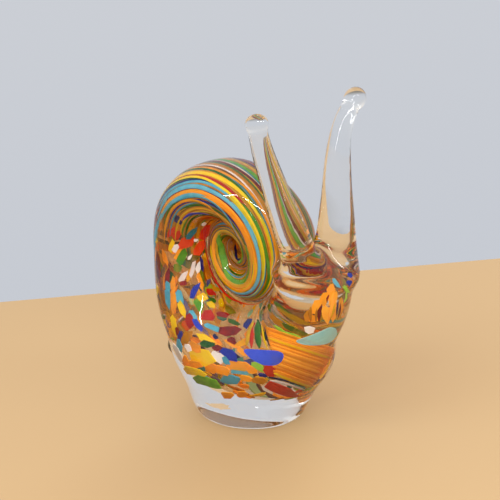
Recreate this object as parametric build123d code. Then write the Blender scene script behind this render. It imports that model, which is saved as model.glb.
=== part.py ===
from build123d import *
import math
import os

# Snail figurine of solid hot-worked glass, in millimetres and degrees.
# +X is forward (the head), +Z is up, Y runs along the axis of the coil, and the
# origin is the centre of the flat base. The winding angle of the glass log is 0 at
# the belly, 90 at the back, 180 on the crown, 270 at the front, and so on inwards.

# Spiral of the glass log
coil_radius = 62.7
turn_ratio = 0.36
winding_ease = 40.0
belly_sag = 7.3
belly_sag_spread = 95.0
chest_sag_spread = 30.0
chest_tuck = 1.8
coil_flattening = 0.87
coil_axis_forward = 7.5
belly_height = 12.7
coil_lean_angle = 5.7
coil_lean_pivot = 45.0
coil_lean_ease = 30.0
turn_gap = 0.4
neck_angle = -80.0
tip_angle = 860.0

# Cross-section of the log: half-widths along the coil axis, which differ on the snail's left side
# round the coil, and how full its oval is at the diagonals
section_fullness = 0.046
neck_half_width = 16.2
chest_half_width = 18.0
belly_half_width = 29.0
back_half_width = 20.5
shoulder_half_width = 20.5
crown_half_width = 17.0
front_half_width = 12.0
ring_half_width = 10.0
tip_half_width = 4.0
crown_left_half_width = 20.0
front_left_half_width = 26.0
ring_left_half_width = 18.0

# Layers of the log at the belly: clear casing, bed of coloured glass, amber core
casing_wall = 3.2
colour_thickness = 0.7
colour_clearance = 0.3
sealed_neck_turn = 8.0
sealed_tip_turn = 70.0
core_end_clearance = 1.0

# Coloured chips on the flanks and coloured streaks round the coil
chip_turn = 8.0
chip_gap_turn = 3.0
chip_least_size = 0.7
chip_lanes = 26
chip_lane_share = 0.72
chip_neck_turn = 10.0
chip_last_angle = 92.0
chip_reach = 125.0
chip_fill = 0.42
streak_lead_turn = 5.0
streak_tip_turn = 150.0
streak_stagger = 60.0
streaks_per_colour = 3
streak_lane_share = 0.6

# Foot, head, tentacles, beads and the broken-off glass thread at the back
foot_length = 52.0
foot_width = 43.0
foot_height = 40.0
foot_lean_forward = 4.5
head_height = 8.0
tentacle_base_radius = 8.0
tentacle_tip_radius = 3.6
tentacle_root_tuck = 2.5
tentacle_root_forward = 2.5
tentacle_root_share = 0.375
tentacle_height = 62.5
tentacle_lean_back = 2.0
tentacle_hook_power = 8
right_tentacle_root_spread = 8.5
right_tentacle_tip_spread = 29.5
right_tentacle_hook = -2.0
left_tentacle_swell = 1.0
left_tentacle_root_spread = 9.5
left_tentacle_tip_spread = 18.5
left_tentacle_hook = 8.5
bead_overhang = 1.1
right_bead_stretch = 0.8
left_bead_stretch = 1.12
nub_radius = 4.5
nub_height = 30.0
nub_side_angle = 35.0

# Sizes that follow from those above
bed_depth = colour_thickness + 2 * colour_clearance
bed_first_angle = neck_angle + sealed_neck_turn
bed_last_angle = tip_angle - sealed_tip_turn
chip_first_angle = bed_first_angle + chip_neck_turn
chip_pitch_turn = chip_turn + chip_gap_turn
streak_first_angle = chip_last_angle + chip_pitch_turn + streak_lead_turn
streak_last_angle = bed_last_angle - streak_tip_turn
tentacle_root_lift = head_height * tentacle_root_share
bead_radius = tentacle_tip_radius + bead_overhang
bead_seat_share = math.sqrt(1 - (tentacle_tip_radius / bead_radius) ** 2)

colours = ("orange", "yellow", "sky_blue", "cobalt", "green", "red", "white")
golden = (math.sqrt(5) - 1) / 2

# Sampling of the smooth lofts
quarter_spans = 6
log_step = 12.0
streak_step = 12.0
chip_shares = (0, 0.15, 0.5, 0.85, 1)
chip_oval = (0.35, 0.72, 1, 0.72, 0.35)
tentacle_spans = 8
bead_spans = 8
foot_spans = 24
foot_seam_angle = 40.0
head_rises = (0, 0.3, 0.55, 0.75, 0.9, 0.98)
# Foot by share of its height: growth of its length, growth of its width, share of its lean
foot_profile = (
    (0, 1, 1, 0),
    (0.05, 1.05, 1.05, 0.02),
    (0.25, 1.2, 1.16, 0.2),
    (0.5, 1.385, 1.27, 0.55),
    (0.75, 1.49, 1.315, 0.85),
    (0.88, 1.385, 1.205, 0.95),
    (1, 1.04, 0.88, 1),
)


def along(value, knots):
    """Smooth profile through (position, size) knots, with no overshoot between them."""
    secants = [(high - low) / (end - start) for (start, low), (end, high) in zip(knots, knots[1:])]
    slopes = [secants[0]]
    for before, after in zip(secants, secants[1:]):
        level = before * after <= 0
        slopes.append(0 if level else 2 * before * after / (before + after))
    slopes.append(secants[-1])
    span = sum(value > position for position, size in knots[1:-1])
    start, low = knots[span]
    end, high = knots[span + 1]
    share = min(1, max(0, (value - start) / (end - start)))
    rise = share**2 * (3 - 2 * share)
    lead = (end - start) * share * (1 - share)
    return low + (high - low) * rise + lead * (slopes[span] * (1 - share) - slopes[span + 1] * share)


def scatter(count, stride):
    """Share from 0 to 1 that jumps about evenly as the count goes up."""
    return (count * stride * golden) % 1


def outer_radius(angle):
    """Distance of the log's outer side from the coil axis."""
    wound = (angle + math.hypot(angle, winding_ease)) / 2
    unwound = wound - angle
    spread = chest_sag_spread if angle < 0 else belly_sag_spread
    sag = belly_sag * math.exp(-((angle / spread) ** 2))
    return coil_radius * turn_ratio ** (wound / 360) + sag - chest_tuck * unwound / 90


def inner_radius(angle):
    """The log's inner side lies just off the next turn of the coil."""
    return outer_radius(angle + 360) + turn_gap


def half_thickness(angle):
    return (outer_radius(angle) - inner_radius(angle)) / 2


def half_width(angle, left=False):
    """Half-width of the log along the coil axis, on one side of it."""
    knots = (
        (neck_angle, neck_half_width),
        (-45, chest_half_width),
        (35, belly_half_width),
        (90, back_half_width),
        (135, shoulder_half_width),
        (180, crown_left_half_width if left else crown_half_width),
        (270, front_left_half_width if left else front_half_width),
        (360, ring_left_half_width if left else ring_half_width),
        (tip_angle, tip_half_width),
    )
    return along(angle, knots)


coil_axis_height = belly_height + outer_radius(0)


def drawn(angle):
    """How far the glass has been drawn out here, against its thickness at the belly."""
    return half_thickness(angle) / half_thickness(0)


def log_point(angle, around, inset=0.0):
    """Point on the log, or on a layer inset below its surface.

    around is 0 on the outer side of the coil and 90 on the snail's right flank.
    inset is a depth at the belly, and thins with the glass.
    """
    depth = inset * drawn(angle)
    turn = math.radians(angle)
    middle = (outer_radius(angle) + inner_radius(angle)) / 2
    fullness = 1 + section_fullness * math.sin(2 * math.radians(around)) ** 2
    out = (half_thickness(angle) - depth) * math.cos(math.radians(around)) * fullness
    aside = math.sin(math.radians(around))
    side = (half_width(angle, aside < 0) - depth) * aside * fullness
    radius = middle + out
    over_pivot = coil_axis_height - middle * math.cos(turn) - coil_lean_pivot
    leaning = (1 + math.tanh(angle / coil_lean_ease)) / 2
    return Vector(
        coil_axis_forward - radius * math.sin(turn) * coil_flattening,
        -side - over_pivot * math.tan(math.radians(coil_lean_angle)) * leaning,
        coil_axis_height - radius * math.cos(turn),
    )


def section_wire(angle, inset=0.0, scale=1.0, shift=Vector(0, 0, 0)):
    """Closed outline of the log at one winding angle, which may be scaled and shifted."""
    middle = (log_point(angle, 0, inset) + log_point(angle, 180, inset)) * 0.5
    shares = [step / quarter_spans for step in range(quarter_spans + 1)]
    edges = []
    for start in (0, 90, 180, 270):
        spokes = [(log_point(angle, start + 90 * share, inset) - middle) * scale for share in shares]
        points = [middle + spoke + shift for spoke in spokes]
        tangents = [spokes[-1] * (math.pi / 2), spokes[0] * (-math.pi / 2)]
        edges.append(Edge.make_spline(points, tangents=tangents, parameters=shares, scale=False))
    return Wire(edges)


def log_solid(first, last, inset=0.0):
    """Stretch of the wound log, smooth through evenly spaced outlines."""
    spans = round((last - first) / log_step)
    angles = [first + (last - first) * step / spans for step in range(spans + 1)]
    return Solid.make_loft([section_wire(angle, inset) for angle in angles])


def neck_frame():
    """Middle of the flat neck end, and the direction in which the neck points."""
    front = log_point(neck_angle, 0)
    rear = log_point(neck_angle, 180)
    reach = (front - rear).normalized()
    return (front + rear) * 0.5, Vector(-reach.Z, 0, reach.X)


def head_solid():
    """Low dome of clear glass on the neck end."""
    heading = neck_frame()[1]
    wires = []
    for rise in head_rises:
        scale = math.sqrt(1 - rise**2)
        wires.append(section_wire(neck_angle, 0, scale, heading * (head_height * rise)))
    return Solid.make_loft(wires)


def tentacle_point(side, share):
    """Centre line of a tentacle, from inside the head (0) to its tip (1)."""
    middle, heading = neck_frame()
    root, tip, hook = {
        1: (left_tentacle_root_spread, left_tentacle_tip_spread, left_tentacle_hook),
        -1: (right_tentacle_root_spread, right_tentacle_tip_spread, right_tentacle_hook),
    }[side]
    return Vector(
        middle.X + heading.X * tentacle_root_lift + tentacle_root_forward - tentacle_lean_back * share,
        side * (root + (tip - root) * share + hook * share**tentacle_hook_power),
        middle.Z + heading.Z * tentacle_root_lift + tentacle_height * share,
    )


def tentacle_plane(side, share):
    """Plane across a tentacle: along the neck end at the root, then square to the centre line."""
    step = 0.02
    heading = tentacle_point(side, share + step) - tentacle_point(side, share - step)
    if share == 0:
        heading = neck_frame()[1]
    return Plane(tentacle_point(side, share), x_dir=Axis.Y.direction.cross(heading), z_dir=heading)


def tentacle_solid(side):
    """Tapering drawn rod of clear glass, kept to its own side of the head."""
    base = tentacle_base_radius + (left_tentacle_swell if side > 0 else 0)
    wires = []
    for step in range(tentacle_spans + 1):
        share = step / tentacle_spans
        radius = base + (tentacle_tip_radius - base) * share - (0 if share else tentacle_root_tuck)
        wires.append(Wire([Edge.make_circle(radius, tentacle_plane(side, share))]))
    own_side = Plane((0, 0, 0), z_dir=(0, side, 0))
    return split(Solid.make_loft(wires), bisect_by=own_side, keep=Keep.TOP)


def bead_solid(side):
    """Bead melted on to a tentacle's flat tip: the left one drawn out, the right one a flat button."""
    seat = tentacle_plane(side, 1)
    tall = bead_radius * (left_bead_stretch if side > 0 else right_bead_stretch)
    low = -math.asin(bead_seat_share)
    turns = [low + (math.pi / 2 - low) * step / bead_spans for step in range(bead_spans + 1)]

    def place(turn):
        rise = tall * (math.sin(turn) - math.sin(low))
        return seat.origin + seat.x_dir * (bead_radius * math.cos(turn)) + seat.z_dir * rise

    start = seat.z_dir * (tall * math.cos(low)) - seat.x_dir * (bead_radius * math.sin(low))
    curve = Edge.make_spline([place(turn) for turn in turns], tangents=[start, seat.x_dir * -1])
    corners = (curve.position_at(1), seat.origin, curve.position_at(0))
    sides = [Edge.make_line(corner, after) for corner, after in zip(corners, corners[1:])]
    return Solid.revolve(Face(Wire([curve] + sides)), 360, Axis(seat.origin, seat.z_dir))


def foot_ring(share):
    """Half-length, half-width and forward shift of the foot at a share of its height."""
    sizes = [along(share, [(row[0], row[column]) for row in foot_profile]) for column in (1, 2, 3)]
    return foot_length / 2 * sizes[0], foot_width / 2 * sizes[1], foot_lean_forward * sizes[2]


def foot_solid():
    """Clear foot with a flat base, a bowl that the belly sits in."""
    wires = []
    for row in foot_profile:
        length, width, forward = foot_ring(row[0])
        ring = []
        for step in range(foot_spans):
            turn = math.radians(foot_seam_angle) + 2 * math.pi * step / foot_spans
            ring.append((forward + length * math.cos(turn), width * math.sin(turn), foot_height * row[0]))
        wires.append(Wire([Edge.make_spline(ring, periodic=True)]))
    return Solid.make_loft(wires)


def nub_solid():
    """Stub of the glass thread that was broken off at the back of the foot."""
    length, width, forward = foot_ring(nub_height / foot_height)
    aside = math.radians(nub_side_angle)
    outwards = Vector(-length * math.cos(aside), -width * math.sin(aside), 0)
    return Solid.make_sphere(nub_radius, Plane(outwards + Vector(forward, 0, nub_height), z_dir=outwards))


def band_solid(angles, middles, halves):
    """Thin band in the bed of colour, along the log; middles and halves are angles around it."""
    deep = casing_wall + bed_depth - colour_clearance
    shallow = casing_wall + colour_clearance
    edges = []
    for side, depth in ((-1, deep), (1, deep), (1, shallow), (-1, shallow)):
        rows = zip(angles, middles, halves)
        points = [log_point(angle, middle + side * half, depth) for angle, middle, half in rows]
        edges.append(Edge.make_spline(points))
    faces = [Face.make_surface_from_curves(edge, edges[index - 1]) for index, edge in enumerate(edges)]
    for end in (0, 1):
        corners = [edge.position_at(end) for edge in edges]
        faces.append(Face(Wire.make_polygon(corners, close=True)))
    return Solid(Shell(faces))


def chips_by_colour():
    """Oval chips strewn over the flanks, belly and chest, dealt out to the colours."""
    dealt = {colour: [] for colour in colours}
    rows = int((chip_last_angle - chip_first_angle) / chip_pitch_turn)
    count = 0
    for row in range(rows + 1):
        for lane in range(chip_lanes):
            count += 1
            around = 360 * (lane + 0.5 * (row % 2)) / chip_lanes - 180
            if abs(around) > chip_reach or scatter(count, 1) > chip_fill:
                continue
            size = chip_least_size + (1 - chip_least_size) * scatter(count, 3)
            skew = 180 / chip_lanes * (1 - chip_lane_share) * (2 * scatter(count, 7) - 1)
            start = chip_first_angle + chip_pitch_turn * row
            angles = [start + chip_turn * size * share for share in chip_shares]
            middles = [around + skew * (2 * share - 1) for share in chip_shares]
            halves = [180 / chip_lanes * chip_lane_share * size * width for width in chip_oval]
            colour = colours[int(len(colours) * scatter(count, 5))]
            dealt[colour].append(band_solid(angles, middles, halves))
    return dealt


def streak_solid(lane, lanes):
    """Band of drawn-out colour that follows the coil inwards."""
    around = 360 * lane / lanes
    half = 180 / lanes * streak_lane_share
    first = streak_first_angle + streak_stagger * scatter(lane, 1)
    last = streak_last_angle - 2 * streak_stagger * scatter(lane, 3)
    spans = round((last - first) / streak_step)
    angles = [first + (last - first) * step / spans for step in range(spans + 1)]
    return band_solid(angles, [around] * len(angles), [half] * len(angles))


def save(node, shape):
    export_step(shape, f"parts/{node}.step")


os.makedirs("parts", exist_ok=True)

log = log_solid(neck_angle, tip_angle)
save("casing", log - log_solid(bed_first_angle, bed_last_angle, casing_wall))

core_first = bed_first_angle + core_end_clearance
core_last = bed_last_angle - core_end_clearance
save("amber_core", log_solid(core_first, core_last, casing_wall + bed_depth))

bowl = foot_solid()
save("foot", bowl - log)
save("tail_nub", nub_solid() - bowl - log)

head = head_solid()
save("head", head)
for name, side in (("left", 1), ("right", -1)):
    save(f"tentacle_{name}", tentacle_solid(side) - head)
    save(f"eye_bead_{name}", bead_solid(side))

for colour, chips in chips_by_colour().items():
    save(f"chips_{colour}", Compound(children=chips))

streak_lanes = len(colours) * streaks_per_colour
for index, colour in enumerate(colours):
    lanes = range(index, streak_lanes, len(colours))
    save(f"streaks_{colour}", Compound(children=[streak_solid(lane, streak_lanes) for lane in lanes]))
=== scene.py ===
import math
import random

import bpy
import numpy as np
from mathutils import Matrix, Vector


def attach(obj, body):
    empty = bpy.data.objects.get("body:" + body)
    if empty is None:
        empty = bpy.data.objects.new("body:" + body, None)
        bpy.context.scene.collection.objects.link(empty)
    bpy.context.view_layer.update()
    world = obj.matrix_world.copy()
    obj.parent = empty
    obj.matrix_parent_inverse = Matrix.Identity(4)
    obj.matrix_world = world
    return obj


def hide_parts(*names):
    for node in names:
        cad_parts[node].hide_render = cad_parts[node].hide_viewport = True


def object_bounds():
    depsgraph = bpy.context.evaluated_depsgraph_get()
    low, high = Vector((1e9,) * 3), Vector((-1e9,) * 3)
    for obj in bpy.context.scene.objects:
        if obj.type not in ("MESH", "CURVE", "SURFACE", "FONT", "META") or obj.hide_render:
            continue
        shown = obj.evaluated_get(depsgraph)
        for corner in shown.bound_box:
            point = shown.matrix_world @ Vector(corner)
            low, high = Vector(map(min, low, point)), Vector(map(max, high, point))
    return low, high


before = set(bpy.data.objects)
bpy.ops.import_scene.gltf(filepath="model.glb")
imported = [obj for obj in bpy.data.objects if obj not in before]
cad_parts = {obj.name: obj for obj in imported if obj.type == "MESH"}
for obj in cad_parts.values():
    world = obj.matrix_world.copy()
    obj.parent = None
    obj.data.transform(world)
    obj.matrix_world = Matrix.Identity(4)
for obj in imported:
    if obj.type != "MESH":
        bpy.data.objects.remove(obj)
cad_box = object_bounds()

import openvdb
from mathutils import Matrix, Vector, noise
from mathutils.bvhtree import BVHTree

# Snail figurine of solid hot-worked glass, in metres and degrees, in the frame's axes:
# +X forward (the head), +Z up, Y along the axis of the coil. The winding angle of the glass
# log is 0 at the belly, 90 at the back, 180 on the crown, 270 at the front, and so on inwards.
# Around the log, 0 is the outer side of the coil and 90 is the snail's right flank.

MM = 0.001
GLASS_IOR = 1.5
SEED = 41

# Wound log, with the same sizes as the frame's casing
COIL_RADIUS = 62.7 * MM
TURN_RATIO = 0.36
WINDING_EASE = 40.0
BELLY_SAG = 7.3 * MM
BELLY_SAG_SPREAD = 95.0
CHEST_SAG_SPREAD = 30.0
CHEST_TUCK = 1.8 * MM
COIL_FLATTENING = 0.87
COIL_AXIS_FORWARD = 7.5 * MM
BELLY_HEIGHT = 12.7 * MM
COIL_LEAN_ANGLE = 5.7
COIL_LEAN_PIVOT = 45.0 * MM
COIL_LEAN_EASE = 30.0
TURN_GAP = 0.4 * MM
NECK_ANGLE = -80.0
TIP_ANGLE = 860.0
SECTION_FULLNESS = 0.046
NECK_TO_BACK = (
    (NECK_ANGLE, 16.2 * MM),
    (-45.0, 18.0 * MM),
    (35.0, 29.0 * MM),
    (90.0, 20.5 * MM),
    (135.0, 20.5 * MM),
)
RIGHT_HALF_WIDTHS = NECK_TO_BACK + (
    (180.0, 17.0 * MM),
    (270.0, 12.0 * MM),
    (360.0, 10.0 * MM),
    (TIP_ANGLE, 4.0 * MM),
)
LEFT_HALF_WIDTHS = NECK_TO_BACK + (
    (180.0, 20.0 * MM),
    (270.0, 26.0 * MM),
    (360.0, 18.0 * MM),
    (TIP_ANGLE, 4.0 * MM),
)
CASING_WALL = 3.2 * MM
BED_DEPTH = 1.3 * MM
BED_FIRST_ANGLE = -72.0
BED_LAST_ANGLE = 790.0

# Photograph's viewing angle, in its frame of 500 x 500 pixels
FRAME_PIXELS = 500
FOCAL_PIXELS = 1000
SENSOR = 36.0
VIEW_AZIMUTH = 46.0
VIEW_ELEVATION = 17.0
VIEW_ROLL = 5.0
VIEW_DISTANCE = 0.43
VIEW_TARGET = Vector((0.0086, 0.0, 0.0767))
CLIP_RANGE = (0.01, 20.0)

# Dark, middle and light tone of each colour of glass, as sRGB
TONES = {
    "orange": ("B27418", "F0A41C", "F6BA3C"),
    "yellow": ("B4820E", "EBC80C", "F3DF2A"),
    "sky_blue": ("2F7E86", "62B4C8", "ACD6D0"),
    "cobalt": ("0E1340", "2338B4", "4C66E0"),
    "green": ("1E5A1A", "5C9E22", "A8CC3A"),
    "red": ("6E1010", "C8281A", "E24A1A"),
    "white": ("CDB4A4", "EAE2DC", "F6F4F2"),
}


def linear(code):
    """Linear colour from an sRGB code."""
    shares = [int(code[k:k + 2], 16) / 255 for k in (0, 2, 4)]
    return [s / 12.92 if s < 0.04045 else ((s + 0.055) / 1.055) ** 2.4 for s in shares] + [1.0]


def along(value, knots):
    """Smooth profile through (position, size) knots, with no overshoot between them."""
    places, sizes = np.array(knots).T
    secants = np.diff(sizes) / np.diff(places)
    before, after = secants[:-1], secants[1:]
    level = before * after <= 0
    inner = np.where(level, 0, 2 * before * after / np.where(level, 1, before + after))
    slopes = np.concatenate([secants[:1], inner, secants[-1:]])
    span = np.clip(np.searchsorted(places, value) - 1, 0, len(places) - 2)
    reach = places[span + 1] - places[span]
    share = np.clip((value - places[span]) / reach, 0, 1)
    rise = share**2 * (3 - 2 * share)
    lead = reach * share * (1 - share)
    low, high = sizes[span], sizes[span + 1]
    return low + (high - low) * rise + lead * (slopes[span] * (1 - share) - slopes[span + 1] * share)


def outer_radius(angle):
    """Distance of the log's outer side from the coil axis."""
    wound = (angle + np.hypot(angle, WINDING_EASE)) / 2
    spread = np.where(np.less(angle, 0), CHEST_SAG_SPREAD, BELLY_SAG_SPREAD)
    sag = BELLY_SAG * np.exp(-((angle / spread) ** 2))
    return COIL_RADIUS * TURN_RATIO ** (wound / 360) + sag - CHEST_TUCK * (wound - angle) / 90


def log_points(angle, around, inset=0.0):
    """Points on the log, or on a layer inset below its surface; the inset thins with the glass."""
    angle, around = np.asarray(angle, float), np.asarray(around, float)
    outer, inner = outer_radius(angle), outer_radius(angle + 360) + TURN_GAP
    thick = (outer - inner) / 2
    belly = (outer_radius(0.0) - outer_radius(360.0) - TURN_GAP) / 2
    depth = inset * thick / belly
    turn, about = np.radians(angle), np.radians(around)
    middle = (outer + inner) / 2
    fullness = 1 + SECTION_FULLNESS * np.sin(2 * about) ** 2
    radius = middle + (thick - depth) * np.cos(about) * fullness
    aside = np.sin(about)
    width = np.where(aside < 0, along(angle, LEFT_HALF_WIDTHS), along(angle, RIGHT_HALF_WIDTHS))
    side = (width - depth) * aside * fullness
    axis_height = BELLY_HEIGHT + outer_radius(0.0)
    over_pivot = axis_height - middle * np.cos(turn) - COIL_LEAN_PIVOT
    leaning = (1 + np.tanh(angle / COIL_LEAN_EASE)) / 2
    x = COIL_AXIS_FORWARD - radius * np.sin(turn) * COIL_FLATTENING
    y = -side - over_pivot * math.tan(math.radians(COIL_LEAN_ANGLE)) * leaning
    z = axis_height - radius * np.cos(turn)
    return np.stack(np.broadcast_arrays(x, y, z), -1)


def tube_faces(rows, columns):
    """Quads of a closed tube of rings, with an end cap on each end."""
    row, column = np.meshgrid(np.arange(rows - 1), np.arange(columns), indexing="ij")
    ahead = (column + 1) % columns
    quads = np.stack([row * columns + column, row * columns + ahead,
                      (row + 1) * columns + ahead, (row + 1) * columns + column], -1)
    faces = quads.reshape(-1, 4).tolist()
    faces.append(list(range(columns))[::-1])
    faces.append(list(range((rows - 1) * columns, rows * columns)))
    return faces


def log_tube(first, last, inset, step, columns):
    """Points and faces of a stretch of the log or of a layer in it, with each point's angles."""
    angles = np.linspace(first, last, round((last - first) / step) + 1)
    arounds = np.arange(columns) * 360 / columns
    angle, around = np.meshgrid(angles, arounds, indexing="ij")
    points = log_points(angle, around, inset)
    return points.reshape(-1, 3), tube_faces(len(angles), columns), angle.ravel(), around.ravel()


def make_piece(name, points, faces, material, nodes, smooth=True):
    """A new mesh piece that rides with the part and stands for CAD nodes."""
    mesh = bpy.data.meshes.new(name)
    mesh.from_pydata([tuple(p) for p in points], [], faces)
    mesh.validate()
    if smooth:
        mesh.shade_smooth()
    piece = bpy.data.objects.new(name, mesh)
    bpy.context.scene.collection.objects.link(piece)
    mesh.materials.append(material)
    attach(piece, "root")
    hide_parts(*nodes)
    return piece


# Camera

def camera_axes():
    """Right, up and back directions of the camera, and its place."""
    azimuth, elevation, roll = (math.radians(a) for a in (VIEW_AZIMUTH, VIEW_ELEVATION, VIEW_ROLL))
    back = Vector((math.sin(azimuth) * math.cos(elevation),
                   -math.cos(azimuth) * math.cos(elevation), math.sin(elevation)))
    level = Vector((math.cos(azimuth), math.sin(azimuth), 0))
    rise = back.cross(level)
    right = level * math.cos(roll) - rise * math.sin(roll)
    up = level * math.sin(roll) + rise * math.cos(roll)
    return right, up, back, VIEW_TARGET + back * VIEW_DISTANCE


def make_camera():
    """Camera at the photograph's viewing angle."""
    right, up, back, place = camera_axes()
    data = bpy.data.cameras.new("camera")
    data.sensor_width = SENSOR
    data.lens = SENSOR * FOCAL_PIXELS / FRAME_PIXELS
    data.clip_start, data.clip_end = CLIP_RANGE
    camera = bpy.data.objects.new("camera", data)
    bpy.context.scene.collection.objects.link(camera)
    camera.matrix_world = Matrix((right, up, back)).transposed().to_4x4()
    camera.location = place
    bpy.context.scene.camera = camera


# Fused clear glass

VOXEL = 0.75 * MM
LEVEL_BAND = 20
SOFTENING = 3
SKIN_STEP = 2.5
SKIN_COLUMNS = 96
WAVE_COUNT = 9
WAVE_LENGTHS = (18 * MM, 36 * MM)
WAVE_HEIGHT = 0.03 * MM
FOLD_PLACE = (55 * MM, -14 * MM, 77 * MM)
FOLD_PITCH = 5 * MM
FOLD_REACH = 9 * MM
FOLD_HEIGHT = 0.5 * MM
FOLD_SLOPE = 0.25
# Nodes melted on to the log, in the order in which they are joined, each with the width of its melt
MELTS = (
    ("foot", 13 * MM),
    ("tail_nub", 2.5 * MM),
    ("head", 8 * MM),
    ("tentacle_left", 9 * MM),
    ("tentacle_right", 9 * MM),
    ("eye_bead_left", 1.5 * MM),
    ("eye_bead_right", 1.5 * MM),
)


class Levels:
    """Dense box of signed distances round the whole part."""

    def __init__(self):
        low, high = (np.array(corner) for corner in cad_box)
        self.low = np.floor(low / VOXEL).astype(int) - LEVEL_BAND
        self.shape = np.ceil(high / VOXEL).astype(int) + LEVEL_BAND - self.low
        self.transform = openvdb.createLinearTransform(voxelSize=VOXEL)

    def places(self):
        """Coordinates of the box along each axis."""
        return [(np.arange(count) + start) * VOXEL for start, count in zip(self.low, self.shape)]

    def measure(self, points, triangles):
        """Signed distances from a closed mesh."""
        grid = openvdb.FloatGrid.createLevelSetFromPolygons(
            np.asarray(points, np.float32), triangles=np.asarray(triangles, np.uint32),
            transform=self.transform, halfWidth=LEVEL_BAND)
        values = np.zeros(self.shape, np.float32)
        grid.copyToArray(values, ijk=[int(n) for n in self.low])
        return values

    def surface(self, values):
        """Points and quads of the surface where the distance is 0."""
        grid = openvdb.FloatGrid(LEVEL_BAND * VOXEL)
        grid.transform = self.transform
        grid.copyFromArray(values, ijk=[int(n) for n in self.low])
        return grid.convertToQuads(isovalue=0)


def triangles_of(faces):
    """Fans of triangles that fill the faces."""
    return [(face[0], face[k], face[k + 1]) for face in faces for k in range(1, len(face) - 1)]


def node_triangles(name):
    """Points and triangles of a CAD node."""
    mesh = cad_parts[name].data
    mesh.calc_loop_triangles()
    points = np.empty(len(mesh.vertices) * 3, np.float32)
    mesh.vertices.foreach_get("co", points)
    triangles = np.empty(len(mesh.loop_triangles) * 3, np.int32)
    mesh.loop_triangles.foreach_get("vertices", triangles)
    return points.reshape(-1, 3), triangles.reshape(-1, 3)


def melt(first, second, width):
    """Smooth union of two sets of signed distances."""
    share = np.clip(0.5 + 0.5 * (second - first) / width, 0, 1)
    return second * (1 - share) + first * share - width * share * (1 - share)


def soften(values, passes):
    """Blur signed distances over neighbouring voxels, so that creases become round."""
    for _ in range(passes):
        for axis in range(3):
            values = (np.roll(values, 1, axis) + 2 * values + np.roll(values, -1, axis)) / 4
    return values


def waves(x, y, z):
    """Slight waviness of hand-worked glass, and the folds of the neck under the tentacles."""
    dice = random.Random(SEED)
    rise = 0
    for _ in range(WAVE_COUNT):
        heading = Vector((dice.gauss(0, 1), dice.gauss(0, 1), dice.gauss(0, 1))).normalized()
        length = dice.uniform(*WAVE_LENGTHS)
        reach = (x * heading.x + y * heading.y + z * heading.z) / length
        rise = rise + np.sin(2 * math.pi * (reach + dice.random()))
    fold = np.sin(2 * math.pi * (z + FOLD_SLOPE * y - FOLD_PLACE[2]) / FOLD_PITCH)
    off_x, off_y, off_z = x - FOLD_PLACE[0], y - FOLD_PLACE[1], z - FOLD_PLACE[2]
    near = (off_x**2 + off_y**2 + off_z**2) / FOLD_REACH**2
    return rise * WAVE_HEIGHT + fold * np.exp(-near) * FOLD_HEIGHT


def fused_glass():
    """Points and quads of all the clear glass, melted into one skin that stands flat on its base."""
    levels = Levels()
    points, faces, _, _ = log_tube(NECK_ANGLE, TIP_ANGLE, 0, SKIN_STEP, SKIN_COLUMNS)
    values = levels.measure(points, triangles_of(faces))
    for node, width in MELTS:
        values = melt(values, levels.measure(*node_triangles(node)), width)
    x, y, z = np.meshgrid(*levels.places(), indexing="ij", sparse=True)
    values = soften(np.maximum(values + waves(x, y, z), -z), SOFTENING)
    points, quads = levels.surface(values)
    points[:, 2] = np.maximum(points[:, 2], 0)
    return points, quads


# Node materials

def new_material(name):
    """A material, its node tree and its main shader."""
    material = bpy.data.materials.new(name)
    material.use_nodes = True
    return material, material.node_tree, material.node_tree.nodes["Principled BSDF"]


def feed(tree, socket, term):
    """Link a socket to another one, or set it to a number."""
    if isinstance(term, bpy.types.NodeSocket):
        tree.links.new(term, socket)
    else:
        socket.default_value = term


def add_math(tree, operation, *terms, clamp=False):
    """Result of a math node whose terms are sockets or numbers."""
    node = tree.nodes.new("ShaderNodeMath")
    node.operation = operation
    node.use_clamp = clamp
    for socket, term in zip(node.inputs, terms):
        feed(tree, socket, term)
    return node.outputs[0]


def add_range(tree, value, start, end, first, last):
    """A value mapped from the range between start and end to that between first and last."""
    node = tree.nodes.new("ShaderNodeMapRange")
    limits = {"From Min": start, "From Max": end, "To Min": first, "To Max": last}
    for name, limit in limits.items():
        node.inputs[name].default_value = limit
    tree.links.new(value, node.inputs["Value"])
    return node.outputs["Result"]


def add_ramp(tree, factor, stops):
    """Colour from a ramp with stops of position and colour."""
    node = tree.nodes.new("ShaderNodeValToRGB")
    elements = node.color_ramp.elements
    while len(elements) < len(stops):
        elements.new(0.5)
    for element, (position, colour) in zip(elements, stops):
        element.position = position
        element.color = colour
    tree.links.new(factor, node.inputs["Fac"])
    return node.outputs["Color"]


def add_noise(tree, place, scale, detail):
    """Noise at a place."""
    node = tree.nodes.new("ShaderNodeTexNoise")
    node.inputs["Scale"].default_value = scale
    node.inputs["Detail"].default_value = detail
    tree.links.new(place, node.inputs["Vector"])
    return node.outputs["Fac"]


def add_stretch(tree, place, scale):
    """A place scaled along each axis."""
    node = tree.nodes.new("ShaderNodeMapping")
    node.inputs["Scale"].default_value = scale
    tree.links.new(place, node.inputs["Vector"])
    return node.outputs["Vector"]


def add_attribute(tree, name):
    """A number that the mesh holds at each point."""
    node = tree.nodes.new("ShaderNodeAttribute")
    node.attribute_name = name
    return node.outputs["Fac"]


def add_height(tree, place):
    """The height of a place."""
    node = tree.nodes.new("ShaderNodeSeparateXYZ")
    tree.links.new(place, node.inputs[0])
    return node.outputs["Z"]


def add_clear(tree, code):
    """Fully clear shader with a tint."""
    node = tree.nodes.new("ShaderNodeBsdfTransparent")
    node.inputs["Color"].default_value = linear(code)
    return node.outputs[0]


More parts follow.
